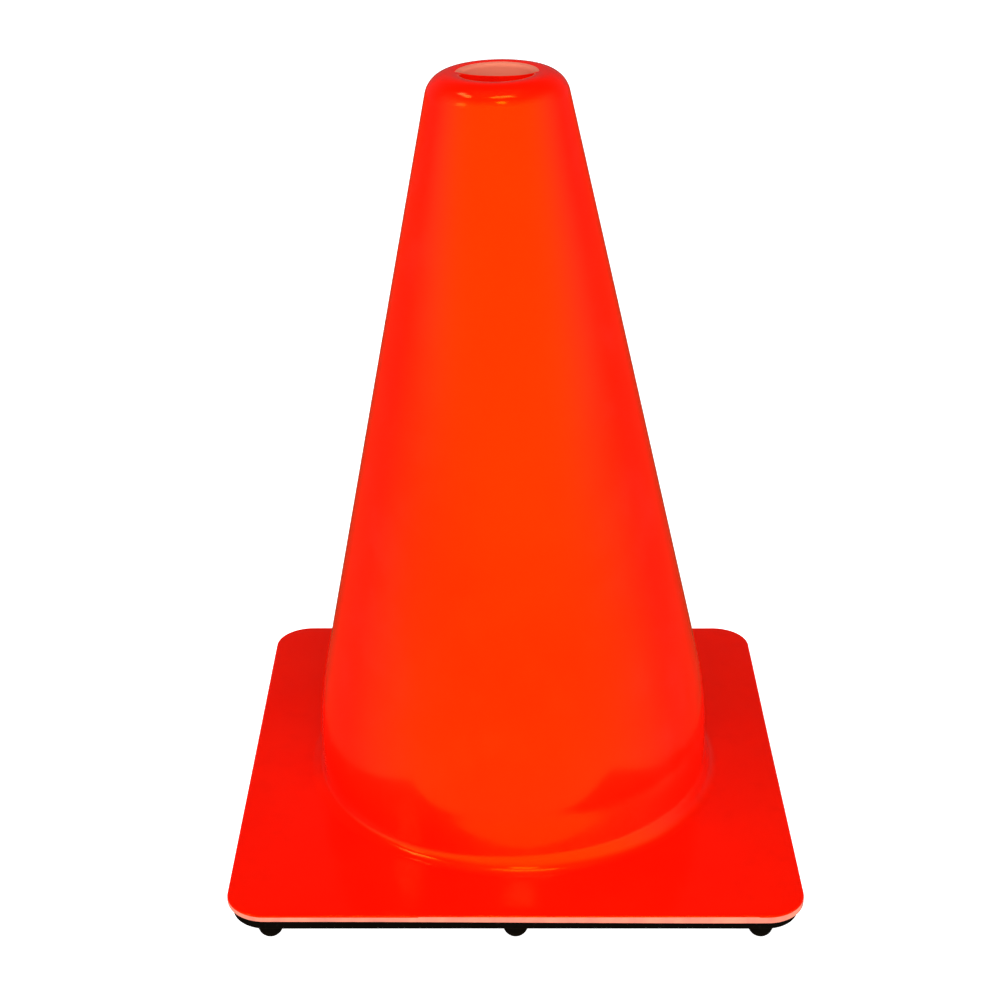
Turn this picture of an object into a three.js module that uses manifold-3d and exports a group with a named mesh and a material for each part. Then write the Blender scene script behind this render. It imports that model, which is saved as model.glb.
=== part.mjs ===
// A small safety cone with a square base, in millimetres, +Z up.
// The origin is on the floor, in the middle of the base, under the axis of the cone.
//
// Two mouldings make it:
//   cone_shell    hollow tapered shell with a shoulder, an open top and a square flange, in one piece
//   ballast_base  square slab under the flange, with a round opening and twelve domed feet

import * as THREE from 'three';
import { mergeVertices } from 'three/addons/utils/BufferGeometryUtils.js';
import Module from 'manifold-3d';

// ---- driving dimensions ----
const baseSide = 219; // flange, edge to edge
const totalHeight = 304.3; // floor to the crown around the top opening
const taperSlope = 0.2128; // how much the wall's radius shrinks for each millimetre of height
const skirtRadius = 79.8; // outside of the wall where it stands upright, just above the flange
const skirtHeight = 14.8; // the wall is upright up to here, above the flange
const flareHeight = 49.3; // and has its full taper from here, above the flange
const wallThickness = 2.3;
const shoulderRadius = 9.5; // outside rounding between the wall and the top
const topHoleRadius = 13.4;
const topHoleDepth = 8; // the top is this thick around its opening
const topRimRadius = 1.5; // rounding of the rim of the top opening
const heelRadius = 6; // fillet between the wall and the flange

const cornerRadius = 15.3; // flange corners, seen from above
const flangeThickness = 2.6;
const flangeEdgeRounding = 0.9;

const slabThickness = 4.9;
const slabInset = 2; // the slab's edge stands back this far from the flange's
const slabEdgeRounding = 0.8;
const slabHoleRadius = 78;
const seamGap = 0.3; // clear space kept between the two mouldings

const footHeight = 6; // below the slab
const footWidth = 9.6;
const footDomeHeight = 4.6; // the rest of the foot's height is upright
const footFlatWidth = 2.4; // worn flat on the tip of each foot
const footSetback = 0.6; // from the slab's edge to the side of a foot
const footSpacing = 92.6; // from the middle foot of a side to the foot at each end

// ---- facets ----
const facetsAround = 64;
const facetsInCorner = 7;
const facetsOnFoot = 16;

const floorToSlab = footHeight;
const floorToFlange = floorToSlab + slabThickness;
const flangeTop = floorToFlange + flangeThickness;

const wasm = await Module();
wasm.setup();

// A closed three.js geometry as a solid that can be joined and cut.
function solidOf(geometry) {
  const bare = geometry.clone();
  bare.deleteAttribute('normal');
  bare.deleteAttribute('uv');
  const merged = mergeVertices(bare, 1e-4);
  const mesh = new wasm.Mesh({
    numProp: 3,
    vertProperties: new Float32Array(merged.attributes.position.array),
    triVerts: new Uint32Array(merged.index.array),
  });
  return new wasm.Manifold(mesh);
}

function geometryOf(solid) {
  const mesh = solid.getMesh();
  const geometry = new THREE.BufferGeometry();
  geometry.setAttribute('position', new THREE.BufferAttribute(mesh.vertProperties, 3));
  geometry.setIndex(new THREE.BufferAttribute(mesh.triVerts, 1));
  geometry.computeVertexNormals();
  return geometry;
}

// Points along an arc, both ends included. Angles are in radians from +X.
function arcPoints(centreX, centreY, radius, startAngle, endAngle, steps) {
  const clockwise = endAngle < startAngle;
  const arc = new THREE.EllipseCurve(centreX, centreY, radius, radius, startAngle, endAngle, clockwise);
  return arc.getPoints(steps);
}

// A profile of (radius, height) points that closes on itself, turned about the Z axis.
function turned(profile, facets) {
  const closed = [...profile, profile[0].clone()];
  const geometry = new THREE.LatheGeometry(closed, facets);
  geometry.rotateX(Math.PI / 2);
  return geometry;
}

// A square plate with rounded corners, rounded edges and a round opening, standing on Z = 0.
function squarePlate(side, corner, thickness, edge, holeRadius) {
  const half = side / 2 - edge;
  const inner = half - (corner - edge);
  const shape = new THREE.Shape();
  shape.moveTo(half, -inner);
  shape.absarc(inner, inner, corner - edge, 0, Math.PI / 2, false);
  shape.absarc(-inner, inner, corner - edge, Math.PI / 2, Math.PI, false);
  shape.absarc(-inner, -inner, corner - edge, Math.PI, 1.5 * Math.PI, false);
  shape.absarc(inner, -inner, corner - edge, 1.5 * Math.PI, 2 * Math.PI, false);
  const plate = new THREE.ExtrudeGeometry(shape, {
    depth: thickness - 2 * edge,
    bevelThickness: edge,
    bevelSize: edge,
    bevelSegments: 2,
    curveSegments: facetsInCorner,
  });
  plate.translate(0, 0, edge);
  const opening = new THREE.CylinderGeometry(holeRadius, holeRadius, 4 * thickness, facetsAround);
  opening.rotateX(Math.PI / 2);
  return solidOf(plate).subtract(solidOf(opening));
}

// ---- the wall's outline, as (radius, height above the flange) ----
const taperAngle = Math.atan(taperSlope);
const coneHeight = totalHeight - flangeTop;

// Radius of the outside of the tapered wall, carried on past its ends.
const flareRadius = (flareHeight - skirtHeight) / Math.sin(taperAngle);
const flareEndRadius = skirtRadius - flareRadius * (1 - Math.cos(taperAngle));
const wallRadiusAt = (height) => flareEndRadius - taperSlope * (height - flareHeight);

// Where the wall leans over from the upright skirt to its full taper; inset is 0 on the outside.
function flareArc(inset) {
  return arcPoints(skirtRadius - flareRadius, skirtHeight, flareRadius - inset, 0, taperAngle, 4);
}

// The shell's outline: heel, outside of the wall, shoulder, rim of the opening, down its bore,
// out under the thick top and down the inside of the wall.
function shellProfile() {
  const heel = arcPoints(skirtRadius + heelRadius, heelRadius, heelRadius, 1.5 * Math.PI, Math.PI, 5);
  const shoulderHeight = coneHeight - shoulderRadius;
  const shoulderCentre = wallRadiusAt(shoulderHeight) - shoulderRadius / Math.cos(taperAngle);
  const rimCentre = topHoleRadius + topRimRadius;
  const rimReach = shoulderRadius - topRimRadius;
  const crownEnd = Math.acos((rimCentre - shoulderCentre) / rimReach);
  const shoulder = arcPoints(shoulderCentre, shoulderHeight, shoulderRadius, taperAngle, crownEnd, 8);
  const rimHeight = shoulderHeight + rimReach * Math.sin(crownEnd);
  const rim = arcPoints(rimCentre, rimHeight, topRimRadius, crownEnd, Math.PI, 3);
  const underside = coneHeight - topHoleDepth;
  const insideTop = wallRadiusAt(underside) - wallThickness / Math.cos(taperAngle);
  const insideSkirt = skirtRadius - wallThickness;
  const collar = skirtRadius + heelRadius + 3;
  return [
    new THREE.Vector2(collar, -flangeThickness),
    new THREE.Vector2(collar, 0),
    ...heel,
    ...flareArc(0),
    ...shoulder,
    ...rim.slice(1),
    new THREE.Vector2(topHoleRadius, underside),
    new THREE.Vector2(insideTop, underside),
    ...flareArc(wallThickness).reverse(),
    new THREE.Vector2(insideSkirt, -flangeThickness),
  ];
}

function coneShell() {
  const wall = turned(shellProfile(), facetsAround);
  wall.translate(0, 0, flangeThickness);
  const flange = squarePlate(baseSide, cornerRadius, flangeThickness, flangeEdgeRounding,
    skirtRadius + heelRadius);
  return geometryOf(solidOf(wall).add(flange));
}

// A round foot hanging from Z = 0: upright, then a dome with a small flat at its tip.
function foot() {
  const flatShare = footFlatWidth / footWidth;
  const fullDome = footDomeHeight / Math.sqrt(1 - flatShare ** 2);
  const quarter = arcPoints(0, 0, 1, -Math.acos(flatShare), 0, 4);
  const domeTop = footDomeHeight - footHeight;
  const dome = quarter.map(({ x, y }) => new THREE.Vector2(x * footWidth / 2, domeTop + y * fullDome));
  const rootHeight = slabThickness / 2;
  const profile = [
    new THREE.Vector2(0, -footHeight),
    ...dome,
    new THREE.Vector2(footWidth / 2, rootHeight),
    new THREE.Vector2(0, rootHeight),
  ];
  const geometry = new THREE.LatheGeometry(profile, facetsOnFoot);
  geometry.rotateX(Math.PI / 2);
  return geometry;
}

function ballastBase() {
  const side = baseSide - 2 * slabInset;
  const thickness = slabThickness - seamGap;
  let base = squarePlate(side, cornerRadius - slabInset, thickness, slabEdgeRounding, slabHoleRadius);
  for (let quarter = 0; quarter < 4; quarter += 1) {
    for (const along of [-footSpacing, 0, footSpacing]) {
      const piece = foot();
      piece.translate(along, side / 2 - footSetback - footWidth / 2, 0);
      piece.rotateZ(quarter * Math.PI / 2);
      base = base.add(solidOf(piece));
    }
  }
  return geometryOf(base);
}

const orangeVinyl = new THREE.MeshStandardMaterial({ color: '#ff2a00', roughness: 0.22, metalness: 0 });
const recycledVinyl = new THREE.MeshStandardMaterial({ color: '#0d0b0b', roughness: 0.7, metalness: 0 });

const shell = new THREE.Mesh(coneShell(), orangeVinyl);
shell.name = 'cone_shell';
shell.position.z = floorToFlange;

const base = new THREE.Mesh(ballastBase(), recycledVinyl);
base.name = 'ballast_base';
base.position.z = floorToSlab;

const trafficCone = new THREE.Group();
trafficCone.add(shell, base);

export default trafficCone;
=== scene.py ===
"""A small safety cone: a glossy orange PVC shell with a square flange, on a black slab with domed feet.

Lengths are in metres, as in the frame. MM turns a size given in millimetres to metres.
"""

import math

import bpy
import numpy as np
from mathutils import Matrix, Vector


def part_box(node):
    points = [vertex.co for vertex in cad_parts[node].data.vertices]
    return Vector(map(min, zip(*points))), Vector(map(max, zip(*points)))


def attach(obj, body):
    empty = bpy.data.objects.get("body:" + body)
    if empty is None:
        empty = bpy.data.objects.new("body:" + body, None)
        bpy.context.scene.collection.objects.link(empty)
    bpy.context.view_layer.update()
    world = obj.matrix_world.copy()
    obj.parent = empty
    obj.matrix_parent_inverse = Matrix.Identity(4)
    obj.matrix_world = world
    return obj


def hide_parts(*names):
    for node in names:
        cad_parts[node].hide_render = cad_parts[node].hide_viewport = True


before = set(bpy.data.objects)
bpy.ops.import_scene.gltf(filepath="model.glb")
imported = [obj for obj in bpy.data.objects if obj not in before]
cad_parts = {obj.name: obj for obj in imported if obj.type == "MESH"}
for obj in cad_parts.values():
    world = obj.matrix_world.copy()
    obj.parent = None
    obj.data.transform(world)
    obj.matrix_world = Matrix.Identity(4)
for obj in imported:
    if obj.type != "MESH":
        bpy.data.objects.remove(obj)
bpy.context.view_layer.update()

MM = 0.001

# ---- places read from the frame ----
shell_low, shell_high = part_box("cone_shell")
base_low, base_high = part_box("ballast_base")
FLANGE_HALF = shell_high.x
RIM_TOP = shell_high.z
FLANGE_BOTTOM = shell_low.z
SLAB_HALF = base_high.x
SLAB_TOP = base_high.z
FOOT_TIP = base_low.z

# ---- sizes of the shell ----
FLANGE_THICKNESS = 2.6 * MM
FLANGE_TOP = FLANGE_BOTTOM + FLANGE_THICKNESS
FLANGE_CORNER = 15.3 * MM
FLANGE_EDGE_ROUNDING = 1.0 * MM
FLANGE_LOW_ROUNDING = 0.5 * MM
LIP_SAG = 0.7 * MM  # the trimmed edge hangs this much lower at its lowest corner
SAG_SLANT = 0.35  # the sag grows to the right and, by this share, to the front
PLATE_WAVE = 0.25 * MM  # how far the flange is out of flat
WAVE_X = 31.0 * MM  # one radian of the wave that runs to the side
WAVE_Y = 27.0 * MM  # and of the one that runs to the back
WAVE_START = 12.0 * MM  # they set in over this distance, outwards from the heel
TRIM_DEPTH = 0.45 * MM  # faces this near to the flange's outline are part of the trimmed edge
TRIM_TOP = 0.5 * MM  # the trimmed edge ends this far below the flange's top
WALL = 2.3 * MM
TAPER = 0.2128  # radius lost per height
TAPER_ANGLE = math.degrees(math.atan(TAPER))
SKIRT_RADIUS = 79.8 * MM
SKIRT_TOP = FLANGE_TOP + 14.8 * MM
FLARE_TOP = FLANGE_TOP + 49.3 * MM
SHOULDER_ROUNDING = 9.5 * MM
HOLE_RADIUS = 13.4 * MM
HOLE_DEPTH = 8.0 * MM  # the top is this thick around its opening
RIM_ROUNDING = 1.5 * MM
HEEL_ROUNDING = 6.0 * MM  # fillet between the wall and the flange
BORE_END_ROUNDING = 0.8 * MM
INSIDE_CORNER = 3.0 * MM  # where the thick top meets the inside of the wall
INSIDE_FOOT = 0.7 * MM  # rounding at the bottom of the inside of the wall
LEAN = math.radians(1.43)  # the flexible wall has taken a set to the left
LEAN_PIVOT = FLANGE_TOP + 8.0 * MM
LEAN_BEND = 4.0 * MM  # the heel bends over this height
SKIRT_TUCK = 2.8 * MM  # the skirt is out of round: drawn in this much to the right of its front
TUCK_AZIMUTH = math.radians(-60)  # from +X, so 30 degrees to the right of the front
TUCK_RISE = 17.0 * MM  # it grows over this height, and fades over TUCK_FADE from TUCK_FADE_START up
TUCK_FADE_START = 12.0 * MM
TUCK_FADE = 70.0 * MM
# painted light in the bore: a pale lit band above a slanting painted shadow edge, cast by a low front lamp
# over the near rim
CUT_AND_LIT_REACH = 1.6 * MM  # the matt cut and its painted lit band reach this far out from the bore, onto the rim
CUT_AND_SHADOW_SLANT = 0.36  # and the painted shadow edge reaches this much deeper into the bore for each length towards the back
CUT_AND_SHADOW_PLANE = RIM_TOP - 0.4 * MM  # height over the middle of the slanting plane, which is a painted shadow edge
CUT_AND_SHADOW_SOFTNESS = 0.3 * MM  # over which the cut and its painted lit band blend into the moulded orange, which stands for the shade below

# ---- sizes of the base ----
SLAB_BOTTOM = FOOT_TIP + 6.0 * MM
SLAB_CORNER = 13.3 * MM
SLAB_EDGE_ROUNDING = 0.9 * MM
SLAB_HOLE = 78.0 * MM
FOOT_RADIUS = 4.8 * MM
FOOT_DOME = 4.6 * MM
FOOT_FLAT = 1.2 * MM
FOOT_FILLET = 0.4 * MM
FOOT_SINK = 0.5 * MM  # how far the feet reach into the slab, so that they join
FOOT_SETBACK = 0.6 * MM
FOOT_SPACING = 92.6 * MM


# ---- shapes ----
def arc(centre_r, centre_z, radius, start, end, count):
    """Points (r, z) on a circle about (centre_r, centre_z), between two angles in degrees from +r."""
    turn = np.radians(np.linspace(start, end, count))
    return np.stack([centre_r + radius * np.cos(turn), centre_z + radius * np.sin(turn)], axis=1)


def line(first, last, count):
    """Evenly spaced points from first to last, both left out."""
    share = np.linspace(0, 1, count + 2)[1:-1, None]
    return np.array(first) * (1 - share) + np.array(last) * share


def square_reach(theta, half, corner):
    """Distance from the centre to the edge of a square with round corners, looking along each angle theta.

    On a side it is half / cos(angle from the side's normal). On a corner it is where the ray meets the
    circle of radius corner about (half - corner, half - corner).
    """
    across = np.maximum(np.abs(np.cos(theta)), np.abs(np.sin(theta)))
    along = np.minimum(np.abs(np.cos(theta)), np.abs(np.sin(theta)))
    centre = half - corner
    reach = centre * (across + along)
    on_corner = reach + np.sqrt(np.maximum(reach**2 - 2 * centre**2 + corner**2, 0))
    return np.where(along * half > centre * across, on_corner, half / across)


def column_angles(half, corner, on_side, on_corner):
    """Angles once around, mirrored in every eighth, with on_corner steps on each half corner."""
    centre = half - corner
    side = np.linspace(0, math.atan2(centre, half), on_side, endpoint=False)
    turn = np.linspace(0, math.pi / 4, on_corner, endpoint=False)
    bend = np.arctan2(centre + corner * np.sin(turn), centre + corner * np.cos(turn))
    eighth = np.concatenate([side, bend])
    quarter = np.concatenate([eighth, [math.pi / 4], math.pi / 2 - eighth[:0:-1]])
    return np.concatenate([quarter + step * math.pi / 2 for step in range(4)])


def smooth_piece(name, corners, faces):
    """A smooth shaded object at the origin with those corners and faces."""
    mesh = bpy.data.meshes.new(name)
    mesh.from_pydata(corners, [], faces)
    mesh.polygons.foreach_set("use_smooth", np.ones(len(mesh.polygons), bool))
    mesh.update()
    piece = bpy.data.objects.new(name, mesh)
    bpy.context.scene.collection.objects.link(piece)
    return piece


def grid_mesh(name, points):
    """A closed surface from a grid of points[column, row], joined up both ways round."""
    columns, rows = points.shape[:2]
    index = np.arange(columns * rows).reshape(columns, rows)
    across = np.roll(index, -1, axis=0)
    quads = np.stack([index, across, np.roll(across, -1, axis=1), np.roll(index, -1, axis=1)], axis=2)
    return smooth_piece(name, points.reshape(-1, 3), quads.reshape(-1, 4))


def wall_places():
    """Where the wall's outline turns: the flare's radius and centre, and the shoulder's centre.

    The flare is an arc that touches the upright skirt and the taper, so its radius is its height divided by
    sin(taper angle). The shoulder is an arc that touches the taper and reaches up to RIM_TOP.
    """
    slant = math.radians(TAPER_ANGLE)
    flare = (FLARE_TOP - SKIRT_TOP) / math.sin(slant)
    taper_start = SKIRT_RADIUS - flare * (1 - math.cos(slant))
    shoulder_z = RIM_TOP - SHOULDER_ROUNDING
    shoulder_r = taper_start - TAPER * (shoulder_z - FLARE_TOP) - SHOULDER_ROUNDING / math.cos(slant)
    return flare, SKIRT_RADIUS - flare, shoulder_r, shoulder_z


def outside_profile():
    """Heel, upright skirt, flare, taper, shoulder and the rim of the opening, as (r, z) points going up.

    The rim's arc touches the shoulder's from within, where the line through both centres meets them.
    """
    flare, flare_r, shoulder_r, shoulder_z = wall_places()
    heel_r, heel_z = SKIRT_RADIUS + HEEL_ROUNDING, FLANGE_TOP + HEEL_ROUNDING
    heel = arc(heel_r, heel_z, HEEL_ROUNDING, 270, 180, 18)
    bend = arc(flare_r, SKIRT_TOP, flare, 0, TAPER_ANGLE, 18)
    rim_r = HOLE_RADIUS + RIM_ROUNDING
    reach = SHOULDER_ROUNDING - RIM_ROUNDING
    crown_end = math.degrees(math.acos((rim_r - shoulder_r) / reach))
    rim_z = shoulder_z + reach * math.sin(math.radians(crown_end))
    shoulder = arc(shoulder_r, shoulder_z, SHOULDER_ROUNDING, TAPER_ANGLE, crown_end, 26)
    rim = arc(rim_r, rim_z, RIM_ROUNDING, crown_end, 180, 9)[1:]
    skirt = line(heel[-1], bend[0], 4)
    taper = line(bend[-1], shoulder[0], 36)
    return np.concatenate([heel, skirt, bend, taper, shoulder, rim])


def inside_profile():
    """Down the bore, out under the thick top and down the inside of the wall, as (r, z) points.

    The inside of the flare has the outside's centre and a radius less by WALL.
    """
    flare, flare_r, _, _ = wall_places()
    slant = math.radians(TAPER_ANGLE)
    underside = RIM_TOP - HOLE_DEPTH
    soft = BORE_END_ROUNDING
    bore_end = arc(HOLE_RADIUS + soft, underside + soft, soft, 180, 270, 6)
    bend = arc(flare_r, SKIRT_TOP, flare - WALL, TAPER_ANGLE, 0, 16)
    corner_z = underside - INSIDE_CORNER
    corner_r = bend[0, 0] - TAPER * (corner_z - bend[0, 1]) - INSIDE_CORNER / math.cos(slant)
    top_corner = arc(corner_r, corner_z, INSIDE_CORNER, 90, TAPER_ANGLE, 7)
    foot = arc(SKIRT_RADIUS - WALL + INSIDE_FOOT, FLANGE_BOTTOM + INSIDE_FOOT, INSIDE_FOOT, 180, 270, 5)
    return np.concatenate([
        bore_end,
        line(bore_end[-1], top_corner[0], 2),
        top_corner,
        line(top_corner[-1], bend[0], 24),
        bend,
        line(bend[-1], foot[0], 8),
        foot,
    ])


def outline_rows(ring, height, share, inset):
    """Rows of the four numbers that place a point of an outline: its radius on the round parts, its height,
    its share of the rounded square (0 on the round parts, 1 on the edge), and its inset from that square."""
    return np.stack(np.broadcast_arrays(ring, height, share, inset), axis=1)


def shell_profile():
    """The shell's outline: up the outside of the wall, over the rim, down the inside, out under the flange,
    round its edge and back in over its top to the heel."""
    outside, inside = outside_profile(), inside_profile()
    wall = np.concatenate([outside, line(outside[-1], inside[0], 8), inside])
    share = np.linspace(0, 1, 14)[1:]
    edge, low_rounding = FLANGE_EDGE_ROUNDING, FLANGE_LOW_ROUNDING
    low_edge = arc(0, FLANGE_BOTTOM + low_rounding, low_rounding, -90, 0, 5)[1:]
    high_edge = arc(0, FLANGE_TOP - edge, edge, 0, 90, 9)
    return np.concatenate([
        outline_rows(wall[:, 0], wall[:, 1], 0, 0),
        outline_rows(inside[-1, 0], FLANGE_BOTTOM, share, low_rounding),
        outline_rows(0, low_edge[:, 1], 1, low_rounding - low_edge[:, 0]),
        outline_rows(0, high_edge[:, 1], 1, edge - high_edge[:, 0]),
        outline_rows(outside[0, 0], FLANGE_TOP, share[-2::-1], edge),
    ])


def smooth_step(value):
    """0 below 0, 1 above 1, and 3 t^2 - 2 t^3 between."""
    t = np.clip(value, 0, 1)
    return t * t * (3 - 2 * t)


def skirt_tuck(theta, height):
    """How far the wall is drawn in: most at TUCK_AZIMUTH and 20 mm above the flange.

    It grows evenly with the height over TUCK_RISE and fades out above by a smooth step. Another takes it
    from full within 26 degrees of TUCK_AZIMUTH (cosine 0.9) to nothing at 60 degrees (cosine 0.5).
    """
    towards = np.cos(theta - TUCK_AZIMUTH)
    above = height - FLANGE_TOP - 0.5 * HEEL_ROUNDING
    inwards = SKIRT_TUCK * np.clip(above / TUCK_RISE, 0, 1)
    ending = 1 - smooth_step((above - TUCK_FADE_START) / TUCK_FADE)
    return inwards * ending * smooth_step((towards - 0.5) / 0.4)


def lip_sag(x, y, height, share):
    """How far the flange's lower edge hangs down: nothing at the middle of its left side, LIP_SAG at its
    right front corner, and the square of the way across in between."""
    across = np.clip(0.5 + 0.5 * (x - SAG_SLANT * y) / FLANGE_HALF, 0, 1)
    at_low_edge = (share > 0.98) & (height < FLANGE_BOTTOM + 1.2 * FLANGE_LOW_ROUNDING)
    return LIP_SAG * across**2 * at_low_edge


def build_shell():
    """Each outline point is carried round the axis: at its ring radius where its share is 0, and along the
    flange's rounded square, set in by its inset, where its share is 1, with a straight blend between.

    The flange is out of flat by the product of two waves across it. The wall is turned to the left about a
    line through its foot: x loses tan(lean) times the height above the pivot, and z gains tan(lean) times x.
    The heel takes up the bend.
    """
    theta = column_angles(FLANGE_HALF, FLANGE_CORNER, on_side=42, on_corner=9)[:, None]
    ring, height, share, inset = shell_profile().T
    square = square_reach(theta, FLANGE_HALF, FLANGE_CORNER) - inset
    radius = (1 - share) * ring + share * square - np.where(share > 0, 0, skirt_tuck(theta, height))
    x, y = radius * np.cos(theta), radius * np.sin(theta)
    z = np.broadcast_to(height, x.shape).copy()
    on_plate = np.clip((radius - SKIRT_RADIUS - HEEL_ROUNDING) / WAVE_START, 0, 1)
    z += PLATE_WAVE * np.sin(x / WAVE_X + 0.7) * np.cos(y / WAVE_Y - 0.4) * on_plate
    z -= lip_sag(x, y, height, share)
    turned = np.where(share > 0, 0, smooth_step((height - FLANGE_TOP) / LEAN_BEND)) * math.tan(LEAN)
    lean_x = -turned * (height - LEAN_PIVOT)
    lean_z = turned * x
    return grid_mesh("shell", np.stack([x + lean_x, y, z + lean_z], axis=2))


def slab_profile():
    """The slab's outline: up its outer edge, in over its top, down the opening and out under it."""
    edge = SLAB_EDGE_ROUNDING
    low = arc(0, SLAB_BOTTOM + edge, edge, -90, 0, 8)
    high = arc(0, SLAB_TOP - edge, edge, 0, 90, 6)
    rim = np.concatenate([low, high])
    hole = np.concatenate([
        arc(SLAB_HOLE + edge, SLAB_TOP - edge, edge, 90, 180, 6),
        arc(SLAB_HOLE + edge, SLAB_BOTTOM + edge, edge, 180, 270, 6),
    ])
    share = np.linspace(0, 1, 8)[1:-1]
    return np.concatenate([
        outline_rows(0, rim[:, 1], 1, edge - rim[:, 0]),
        outline_rows(SLAB_HOLE + edge, SLAB_TOP, share[::-1], edge),
        outline_rows(hole[:, 0], hole[:, 1], 0, 0),
        outline_rows(SLAB_HOLE + edge, SLAB_BOTTOM, share, edge),
    ])


def foot_profile():
    """A foot's outline from the middle of its tip to the middle of its root, as (r, z) points.

    A small flat, a quarter of an ellipse, an upright side and a fillet that sinks into the slab.
    """
    side_low = FOOT_TIP + FOOT_DOME
    full_dome = FOOT_DOME / math.sqrt(1 - (FOOT_FLAT / FOOT_RADIUS) ** 2)
    tip = -math.degrees(math.acos(FOOT_FLAT / FOOT_RADIUS))
    dome = arc(0, 0, 1, tip, 0, 12) * [FOOT_RADIUS, full_dome] + [0, side_low]
    root = arc(FOOT_RADIUS + FOOT_FILLET, SLAB_BOTTOM - FOOT_FILLET, FOOT_FILLET, 180, 90, 7)
    sunk = SLAB_BOTTOM + FOOT_SINK
    inside = [[FOOT_RADIUS + FOOT_FILLET, sunk], [0, sunk]]
    return np.concatenate([[[0, FOOT_TIP]], dome, root, inside])


def build_feet():
    """Twelve closed bodies of revolution, three along each side of the slab."""
    theta = np.linspace(0, 2 * math.pi, 40, endpoint=False)[:, None]
    ring, height = foot_profile().T
    edge = SLAB_HALF - FOOT_SETBACK - FOOT_RADIUS
    feet = []
    for turn in range(4):
        for along in (-FOOT_SPACING, 0, FOOT_SPACING):
            quarter = math.radians(90 * turn)
            centre_x = along * math.cos(quarter) - edge * math.sin(quarter)
            centre_y = along * math.sin(quarter) + edge * math.cos(quarter)
            x, y = centre_x + ring * np.cos(theta), centre_y + ring * np.sin(theta)
            feet.append(np.stack([x, y, np.broadcast_to(height, x.shape)], axis=2))
    return feet


def turned_mesh(name, bodies):
    """Closed bodies from grids of points[column, row] whose first and last rows lie on an axis."""
    corners, faces, count = [], [], 0
    for points in bodies:
        columns, rows = points.shape[:2]
        inner = np.arange(columns * (rows - 2)).reshape(columns, rows - 2) + count + 2
        across = np.roll(inner, -1, axis=0)
        quads = np.stack([inner[:, :-1], across[:, :-1], across[:, 1:], inner[:, 1:]], axis=2)
        first, last = np.full(columns, count), np.full(columns, count + 1)
        faces += quads.reshape(-1, 4).tolist()
        faces += np.stack([first, across[:, 0], inner[:, 0]], axis=1).tolist()
        faces += np.stack([last, inner[:, -1], across[:, -1]], axis=1).tolist()
        corners += [points[0, :1], points[0, -1:], points[:, 1:-1].reshape(-1, 3)]
        count += 2 + columns * (rows - 2)
    return smooth_piece(name, np.concatenate(corners), faces)


def joined(piece, other):
    """piece becomes the union of the two closed bodies, and other is removed."""
    union = piece.modifiers.new("union", "BOOLEAN")
    union.operation = "UNION"
    union.solver = "EXACT"
    union.object = other
    finished = piece.evaluated_get(bpy.context.evaluated_depsgraph_get())
    mesh = bpy.data.meshes.new_from_object(finished)
    piece.modifiers.clear()
    piece.data = mesh
    bpy.data.objects.remove(other)
    return piece


def build_base():
    """The slab's outline carried round the axis as the shell's is, with the feet joined on."""
    theta = column_angles(SLAB_HALF, SLAB_CORNER, on_side=30, on_corner=8)[:, None]
    ring, height, share, inset = slab_profile().T
    square = square_reach(theta, SLAB_HALF, SLAB_CORNER) - inset
    radius = (1 - share) * ring + share * square
    x, y = radius * np.cos(theta), radius * np.sin(theta)
    z = np.broadcast_to(height, x.shape)
    slab = grid_mesh("base", np.stack([x, y, z], axis=2))
    feet = turned_mesh("feet", build_feet())
    return joined(slab, feet)


# ---- materials ----
def linear(hex_colour):
    """An sRGB hex colour as linear red, green, blue and alpha."""
    channels = [int(hex_colour[i : i + 2], 16) / 255 for i in (1, 3, 5)]
    return [c / 12.92 if c <= 0.04045 else ((c + 0.055) / 1.055) ** 2.4 for c in channels] + [1.0]


# a mix node's sockets share their names, so they go by number
FACTOR = 0
NUMBER_A = 2
NUMBER_B = 3
COLOUR_A = 6
COLOUR_B = 7
NUMBER_OUT = 0
COLOUR_OUT = 2


def add_node(tree, kind, inputs=(), **settings):
    """A node of that kind with its settings made and its inputs set: sockets are linked, values copied."""
    node = tree.nodes.new(kind)
    for name, value in settings.items():
        setattr(node, name, value)
    for name, value in dict(inputs).items():
        if isinstance(value, bpy.types.NodeSocket):
            tree.links.new(value, node.inputs[name])
        else:
            node.inputs[name].default_value = value
    return node


def new_material(name):
    """A material with an empty node tree, and the tree."""
    material = bpy.data.materials.new(name)
    material.use_nodes = True
    material.node_tree.nodes.clear()
    return material, material.node_tree


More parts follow.
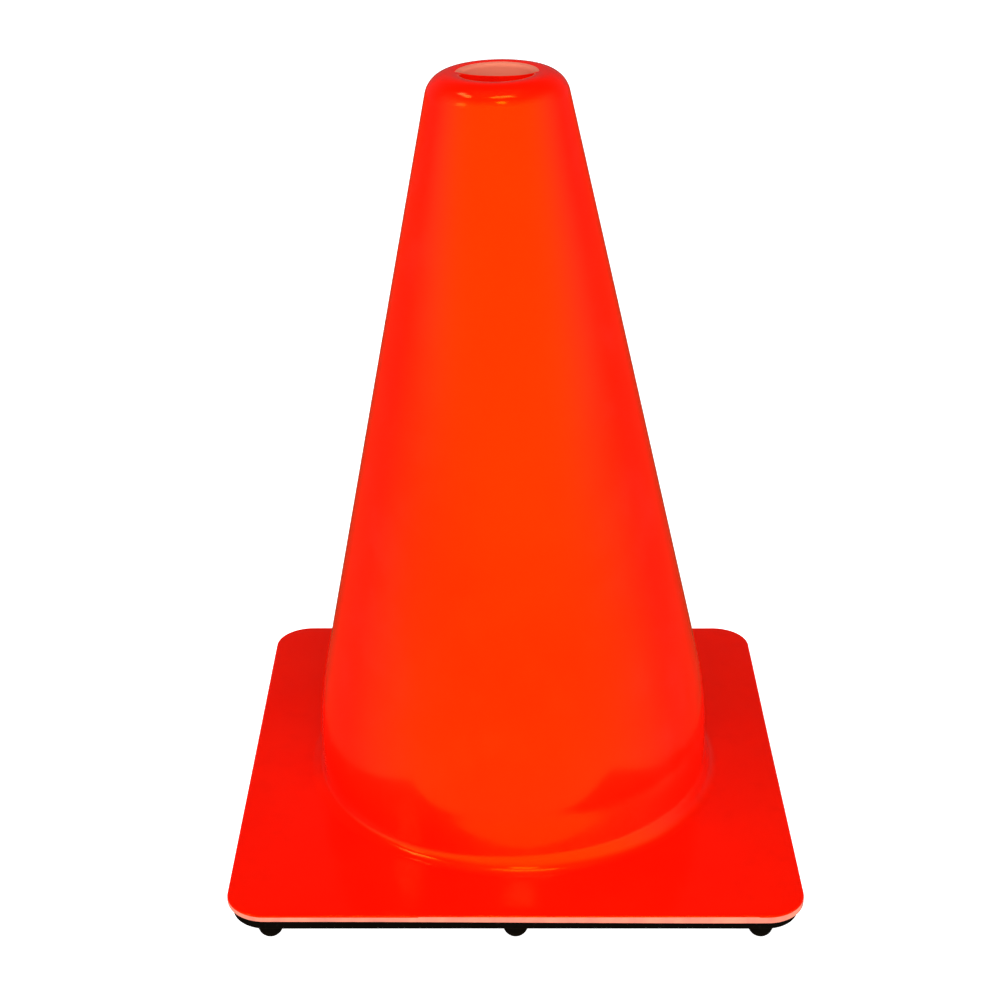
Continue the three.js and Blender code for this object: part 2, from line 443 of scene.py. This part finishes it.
def glossy_orange_pvc():
    """Flexible PVC with a fluorescent red-orange pigment, injection moulded against a polished mould.

    The pigment leaves the colour nearly free of blue and very full, and the gloss is tinted towards it.
    The polished mould leaves a gloss that shows lamps as small soft spots, the cooling wall a slow ripple,
    the grain of the mould a fine orange peel, and handling a haze of rubbed patches. A blade has opened the
    top: in the bore, above a plane that slants down to the back, the PVC is matt and pale salmon. The pale
    colour is partly the stress-whitened cut and partly a painted lit band, and the slanting plane is a
    painted shadow edge, that of a low lamp in front shining over the near rim; below it the moulded orange
    stands for the shade.
    """
    material, tree = new_material("glossy fluorescent orange PVC, injection moulded")
    place = add_node(tree, "ShaderNodeTexCoord").outputs["Object"]

    # colour: slow clouds, and deeper streaks drawn out upwards
    clouds = add_node(tree, "ShaderNodeTexNoise", {"Vector": place, "Scale": 1 / (42 * MM), "Detail": 3.0})
    thick = add_node(tree, "ShaderNodeMapRange", {
        "Value": clouds.outputs["Fac"],
        "From Min": 0.3,
        "From Max": 0.7,
    })
    orange = add_node(tree, "ShaderNodeMix", {
        FACTOR: thick.outputs["Result"],
        COLOUR_A: linear("#fb0e00"),
        COLOUR_B: linear("#ff1200"),
    }, data_type="RGBA")
    upright = add_node(tree, "ShaderNodeMapping", {"Vector": place, "Scale": (1, 1, 0.14)})
    flow = add_node(tree, "ShaderNodeTexNoise", {"Vector": upright.outputs["Vector"], "Scale": 1 / (9 * MM)})
    streak = add_node(tree, "ShaderNodeMapRange", {
        "Value": flow.outputs["Fac"],
        "From Min": 0.55,
        "From Max": 0.8,
        "To Max": 0.35,
    })
    moulded = add_node(tree, "ShaderNodeMix", {
        FACTOR: streak.outputs["Result"],
        COLOUR_A: orange.outputs[COLOUR_OUT],
        COLOUR_B: linear("#f20d00"),
    }, data_type="RGBA")

    # the cut bore and its painted lit band: near the leaning axis, and above the slanting plane, which is a
    # painted shadow edge
    parts = add_node(tree, "ShaderNodeSeparateXYZ", {"Vector": place})
    lean = add_node(tree, "ShaderNodeMath", {
        0: parts.outputs["Z"],
        1: math.tan(LEAN),
        2: -math.tan(LEAN) * LEAN_PIVOT,
    }, operation="MULTIPLY_ADD")
    upright_x = add_node(tree, "ShaderNodeMath", {0: parts.outputs["X"], 1: lean.outputs["Value"]})
    flat = add_node(tree, "ShaderNodeCombineXYZ", {"X": upright_x.outputs["Value"], "Y": parts.outputs["Y"]})
    from_axis = add_node(tree, "ShaderNodeVectorMath", {0: flat.outputs["Vector"]}, operation="LENGTH")
    in_bore = add_node(tree, "ShaderNodeMapRange", {
        "Value": from_axis.outputs["Value"],
        "From Min": HOLE_RADIUS + CUT_AND_LIT_REACH,
        "From Max": HOLE_RADIUS + CUT_AND_LIT_REACH + CUT_AND_SHADOW_SOFTNESS,
        "To Min": 1.0,
        "To Max": 0.0,
    })
    cut_and_shadow_level = add_node(tree, "ShaderNodeMath", {
        0: parts.outputs["Y"],
        1: CUT_AND_SHADOW_SLANT,
        2: parts.outputs["Z"],
    }, operation="MULTIPLY_ADD")
    above = add_node(tree, "ShaderNodeMapRange", {
        "Value": cut_and_shadow_level.outputs["Value"],
        "From Min": CUT_AND_SHADOW_PLANE,
        "From Max": CUT_AND_SHADOW_PLANE + CUT_AND_SHADOW_SOFTNESS,
    })
    # 1 where the bore is matt and cut and its colour is a painted lit band; 0 below the painted shadow edge,
    # where the moulded orange stands for the shade
    cut = add_node(tree, "ShaderNodeMath", {
        0: in_bore.outputs["Result"],
        1: above.outputs["Result"],
    }, operation="MULTIPLY")
    # pale salmon: the cut's own whitening, and a painted lit band from a low front lamp
    colour = add_node(tree, "ShaderNodeMix", {
        FACTOR: cut.outputs["Value"],
        COLOUR_A: moulded.outputs[COLOUR_OUT],
        COLOUR_B: linear("#dc7862"),
    }, data_type="RGBA")

    # gloss: polished, hazed where it is rubbed, matt where it is cut
    haze = add_node(tree, "ShaderNodeTexNoise", {
        "Vector": place,
        "Scale": 1 / (18 * MM),
        "Detail": 4.0,
        "Roughness": 0.6,
    })
    rubbed = add_node(tree, "ShaderNodeMapRange", {
        "Value": haze.outputs["Fac"],
        "From Min": 0.48,
        "From Max": 0.75,
        "To Min": 0.12,
        "To Max": 0.22,
    })
    roughness = add_node(tree, "ShaderNodeMix", {
        FACTOR: cut.outputs["Value"],
        NUMBER_A: rubbed.outputs["Result"],
        NUMBER_B: 0.62,
    })

    # relief: a slow ripple, and orange peel on it
    ripple = add_node(tree, "ShaderNodeTexNoise", {"Vector": place, "Scale": 1 / (34 * MM), "Detail": 1.0})
    ripple_bump = add_node(tree, "ShaderNodeBump", {
        "Height": ripple.outputs["Fac"],
        "Strength": 0.5,
        "Distance": 0.5 * MM,
    })
    peel = add_node(tree, "ShaderNodeTexNoise", {"Vector": place, "Scale": 1 / (1.6 * MM)})
    peel_bump = add_node(tree, "ShaderNodeBump", {
        "Height": peel.outputs["Fac"],
        "Strength": 0.12,
        "Distance": 0.06 * MM,
        "Normal": ripple_bump.outputs["Normal"],
    })
    shader = add_node(tree, "ShaderNodeBsdfPrincipled", {
        "Base Color": colour.outputs[COLOUR_OUT],
        "Roughness": roughness.outputs[NUMBER_OUT],
        "IOR": 1.5,
        "Specular Tint": linear("#ffc810"),
        "Normal": peel_bump.outputs["Normal"],
    })
    add_node(tree, "ShaderNodeOutputMaterial", {"Surface": shader.outputs["BSDF"]})
    return material


def trimmed_orange_pvc():
    """The same PVC where a blade has cut it: matt, whitened by stress to a dusty salmon, with fine lines."""
    material, tree = new_material("orange PVC, trimmed with a blade")
    place = add_node(tree, "ShaderNodeTexCoord").outputs["Object"]
    dust = add_node(tree, "ShaderNodeTexNoise", {
        "Vector": place,
        "Scale": 1 / (6 * MM),
        "Detail": 4.0,
        "Roughness": 0.6,
    })
    dusty = add_node(tree, "ShaderNodeMapRange", {
        "Value": dust.outputs["Fac"],
        "From Min": 0.35,
        "From Max": 0.7,
    })
    colour = add_node(tree, "ShaderNodeMix", {
        FACTOR: dusty.outputs["Result"],
        COLOUR_A: linear("#e67f66"),
        COLOUR_B: linear("#c26c5c"),
    }, data_type="RGBA")
    along = add_node(tree, "ShaderNodeMapping", {"Vector": place, "Scale": (0.07, 0.07, 1)})
    cuts = add_node(tree, "ShaderNodeTexNoise", {"Vector": along.outputs["Vector"], "Scale": 1 / (0.7 * MM)})
    bump = add_node(tree, "ShaderNodeBump", {
        "Height": cuts.outputs["Fac"],
        "Strength": 0.5,
        "Distance": 0.12 * MM,
    })
    shader = add_node(tree, "ShaderNodeBsdfPrincipled", {
        "Base Color": colour.outputs[COLOUR_OUT],
        "Roughness": 0.62,
        "IOR": 1.5,
        "Specular IOR Level": 0.3,
        "Normal": bump.outputs["Normal"],
    })
    add_node(tree, "ShaderNodeOutputMaterial", {"Surface": shader.outputs["BSDF"]})
    return material


def recycled_black_pvc():
    """Ground-up PVC pressed into a slab: nearly black, dull, with a leathery grain and paler crumbs in it,
    and rubbed a little greyer on the tips of the feet."""
    material, tree = new_material("recycled black PVC, pressed")
    place = add_node(tree, "ShaderNodeTexCoord").outputs["Object"]
    clouds = add_node(tree, "ShaderNodeTexNoise", {
        "Vector": place,
        "Scale": 1 / (15 * MM),
        "Detail": 4.0,
        "Roughness": 0.6,
    })
    worn_in = add_node(tree, "ShaderNodeMapRange", {
        "Value": clouds.outputs["Fac"],
        "From Min": 0.3,
        "From Max": 0.75,
    })
    black = add_node(tree, "ShaderNodeMix", {
        FACTOR: worn_in.outputs["Result"],
        COLOUR_A: linear("#020202"),
        COLOUR_B: linear("#060505"),
    }, data_type="RGBA")
    crumbs = add_node(tree, "ShaderNodeTexNoise", {"Vector": place, "Scale": 1 / (1.1 * MM), "Detail": 1.0})
    crumb = add_node(tree, "ShaderNodeMapRange", {
        "Value": crumbs.outputs["Fac"],
        "From Min": 0.70,
        "From Max": 0.76,
        "To Max": 0.5,
    })
    speckled = add_node(tree, "ShaderNodeMix", {
        FACTOR: crumb.outputs["Result"],
        COLOUR_A: black.outputs[COLOUR_OUT],
        COLOUR_B: linear("#1c1717"),
    }, data_type="RGBA")
    parts = add_node(tree, "ShaderNodeSeparateXYZ", {"Vector": place})
    tip = add_node(tree, "ShaderNodeMapRange", {
        "Value": parts.outputs["Z"],
        "From Min": FOOT_TIP + 0.2 * MM,
        "From Max": FOOT_TIP + 1.2 * MM,
        "To Min": 0.6,
        "To Max": 0.0,
    })
    colour = add_node(tree, "ShaderNodeMix", {
        FACTOR: tip.outputs["Result"],
        COLOUR_A: speckled.outputs[COLOUR_OUT],
        COLOUR_B: linear("#0e0d0d"),
    }, data_type="RGBA")
    roughness = add_node(tree, "ShaderNodeMapRange", {
        "Value": clouds.outputs["Fac"],
        "From Min": 0.3,
        "From Max": 0.7,
        "To Min": 0.5,
        "To Max": 0.68,
    })
    grain = add_node(tree, "ShaderNodeTexNoise", {
        "Vector": place,
        "Scale": 1 / (1.4 * MM),
        "Detail": 4.0,
        "Roughness": 0.65,
    })
    bump = add_node(tree, "ShaderNodeBump", {
        "Height": grain.outputs["Fac"],
        "Strength": 0.6,
        "Distance": 0.18 * MM,
    })
    shader = add_node(tree, "ShaderNodeBsdfPrincipled", {
        "Base Color": colour.outputs[COLOUR_OUT],
        "Roughness": roughness.outputs["Result"],
        "IOR": 1.5,
        "Specular IOR Level": 0.02,
        "Normal": bump.outputs["Normal"],
    })
    add_node(tree, "ShaderNodeOutputMaterial", {"Surface": shader.outputs["BSDF"]})
    return material


# ---- the object ----
def mark_trimmed(piece):
    """Give the second material to the faces of the flange's edge, where a blade has cut it."""
    mesh = piece.data
    centre = np.empty(3 * len(mesh.polygons))
    mesh.polygons.foreach_get("center", centre)
    x, y, z = centre.reshape(-1, 3).T
    reach = square_reach(np.arctan2(y, x), FLANGE_HALF, FLANGE_CORNER) - np.hypot(x, y)
    edge = (reach < TRIM_DEPTH) & (z < FLANGE_TOP - TRIM_TOP)
    mesh.polygons.foreach_set("material_index", edge.astype(np.int32))


shell = build_shell()
shell.data.materials.append(glossy_orange_pvc())
shell.data.materials.append(trimmed_orange_pvc())
mark_trimmed(shell)
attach(shell, "root")
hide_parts("cone_shell")

base = build_base()
base.data.materials.clear()
base.data.materials.append(recycled_black_pvc())
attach(base, "root")
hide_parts("ballast_base")


# ---- floor, light and camera ----
FLOOR_REACH = 40.0
BAND_FRONT = 1.6  # strength of the bright band in front of the cone
BAND_BACK = 0.11  # and behind it
BAND_ABOVE = 0.2  # share of either that is left overhead
EYE = (-5.9 * MM, -713.3 * MM, FLANGE_TOP + 463.9 * MM)
EYE_PITCH = math.radians(25.758)  # how far it looks down
EYE_LENS = 71.95  # mm, on a sensor 36 mm wide


def build_floor():
    """A pale table with light of its own, so that it stays even and holds only faint shadows.

    The gloss of the cone mirrors the warm lower half of the studio in its place.
    """
    mesh = bpy.data.meshes.new("floor")
    reach = FLOOR_REACH
    corners = [(-reach, -reach, 0), (reach, -reach, 0), (reach, reach, 0), (-reach, reach, 0)]
    mesh.from_pydata(corners, [], [(0, 1, 2, 3)])
    floor = bpy.data.objects.new("floor", mesh)
    bpy.context.scene.collection.objects.link(floor)
    material, tree = new_material("pale light table")
    shader = add_node(tree, "ShaderNodeBsdfPrincipled", {
        "Base Color": linear("#e8e8e8"),
        "Roughness": 0.9,
        "Specular IOR Level": 0.0,
        "Emission Color": linear("#ffffff"),
        "Emission Strength": 1.0,
    })
    add_node(tree, "ShaderNodeOutputMaterial", {"Surface": shader.outputs["BSDF"]})
    mesh.materials.append(material)
    floor.visible_glossy = False


def softbox(name, aim, azimuth, elevation, distance, width, height, radiance, mirrored=True):
    """A rectangular area light that faces the point aim. Azimuth is in degrees from the front (-Y) towards
    the right (+X). One that isn't mirrored only fills shadows and leaves no highlight.

    Its power is pi times its area times its radiance.
    """
    light = bpy.data.lights.new(name, "AREA")
    light.shape = "RECTANGLE"
    light.size, light.size_y = width, height
    light.energy = radiance * math.pi * width * height
    lamp = bpy.data.objects.new(name, light)
    turn, rise = math.radians(azimuth), math.radians(elevation)
    across, up = distance * math.cos(rise), distance * math.sin(rise)
    lamp.location = (aim[0] + across * math.sin(turn), aim[1] - across * math.cos(turn), aim[2] + up)
    lamp.rotation_euler = (math.pi / 2 - rise, 0, turn)
    lamp.visible_glossy = mirrored
    bpy.context.scene.collection.objects.link(lamp)


def set_world():
    """A studio seen in the gloss: a bright band round the horizon, strongest in front and dimmer overhead.
    Below the horizon it is warm, and stands in the gloss for the table.

    The band's strength goes from BAND_BACK to BAND_FRONT by a smooth step of the direction's y, and from
    there to BAND_ABOVE of it by a smooth step of the direction's z.
    """
    world = bpy.data.worlds.new("studio")
    world.use_nodes = True
    tree = world.node_tree
    tree.nodes.clear()
    direction = add_node(tree, "ShaderNodeTexCoord").outputs["Generated"]
    parts = add_node(tree, "ShaderNodeSeparateXYZ", {"Vector": direction})
    forward = add_node(tree, "ShaderNodeMapRange", {
        "Value": parts.outputs["Y"],
        "From Min": 0.4,
        "From Max": -0.7,
        "To Min": BAND_BACK,
        "To Max": BAND_FRONT,
    }, interpolation_type="SMOOTHSTEP")
    fade = add_node(tree, "ShaderNodeMapRange", {
        "Value": parts.outputs["Z"],
        "From Min": 0.3,
        "From Max": 0.8,
        "To Min": 1.0,
        "To Max": BAND_ABOVE,
    }, interpolation_type="SMOOTHSTEP")
    strength = add_node(tree, "ShaderNodeMath", {
        0: forward.outputs["Result"],
        1: fade.outputs["Result"],
    }, operation="MULTIPLY")
    above_horizon = add_node(tree, "ShaderNodeMapRange", {
        "Value": parts.outputs["Z"],
        "From Min": -0.12,
        "From Max": -0.02,
    })
    colour = add_node(tree, "ShaderNodeMix", {
        FACTOR: above_horizon.outputs["Result"],
        COLOUR_A: linear("#ffcc78"),
        COLOUR_B: linear("#ffffff"),
    }, data_type="RGBA")
    sky = add_node(tree, "ShaderNodeBackground", {
        "Color": colour.outputs[COLOUR_OUT],
        "Strength": strength.outputs["Value"],
    })
    add_node(tree, "ShaderNodeOutputWorld", {"Surface": sky.outputs["Background"]})
    bpy.context.scene.world = world


def set_camera():
    """Level from side to side, a little left of the middle, looking down at the front of the cone."""
    camera = bpy.data.cameras.new("camera")
    camera.sensor_width = 36
    camera.lens = EYE_LENS
    eye = bpy.data.objects.new("camera", camera)
    eye.location = EYE
    eye.rotation_euler = (math.pi / 2 - EYE_PITCH, 0, 0)
    bpy.context.scene.collection.objects.link(eye)
    bpy.context.scene.camera = eye


build_floor()

# lamps that show in the gloss
top = (0, 0, RIM_TOP)
heel = (0, -SKIRT_RADIUS, FLANGE_TOP)
left_heel = (-40 * MM, -69 * MM, FLANGE_TOP)
softbox("front top", top, azimuth=10, elevation=66, distance=1.2, width=0.55, height=0.16, radiance=7)
softbox("left top", top, azimuth=-82, elevation=53, distance=1.2, width=0.45, height=0.16, radiance=7)
softbox("front high", heel, azimuth=6, elevation=55, distance=1.1, width=0.2, height=0.16, radiance=7)
softbox("left front", left_heel, azimuth=-64, elevation=37, distance=1.0, width=0.25, height=0.2, radiance=3)

# lamps that only fill, each with its azimuth, elevation, height and radiance
for name, azimuth, elevation, height, radiance in [
    ("front fill", 0, 30, 1.2, 1.6),
    ("top fill", 0, 80, 1.6, 1.2),
    ("left fill", -85, 25, 1.2, 0.6),
    ("right fill", 85, 25, 1.2, 0.9),
]:
    softbox(name, top, azimuth, elevation, 2.0, 1.6, height, radiance, mirrored=False)

set_world()
set_camera()
bpy.context.scene.view_settings.view_transform = "Standard"
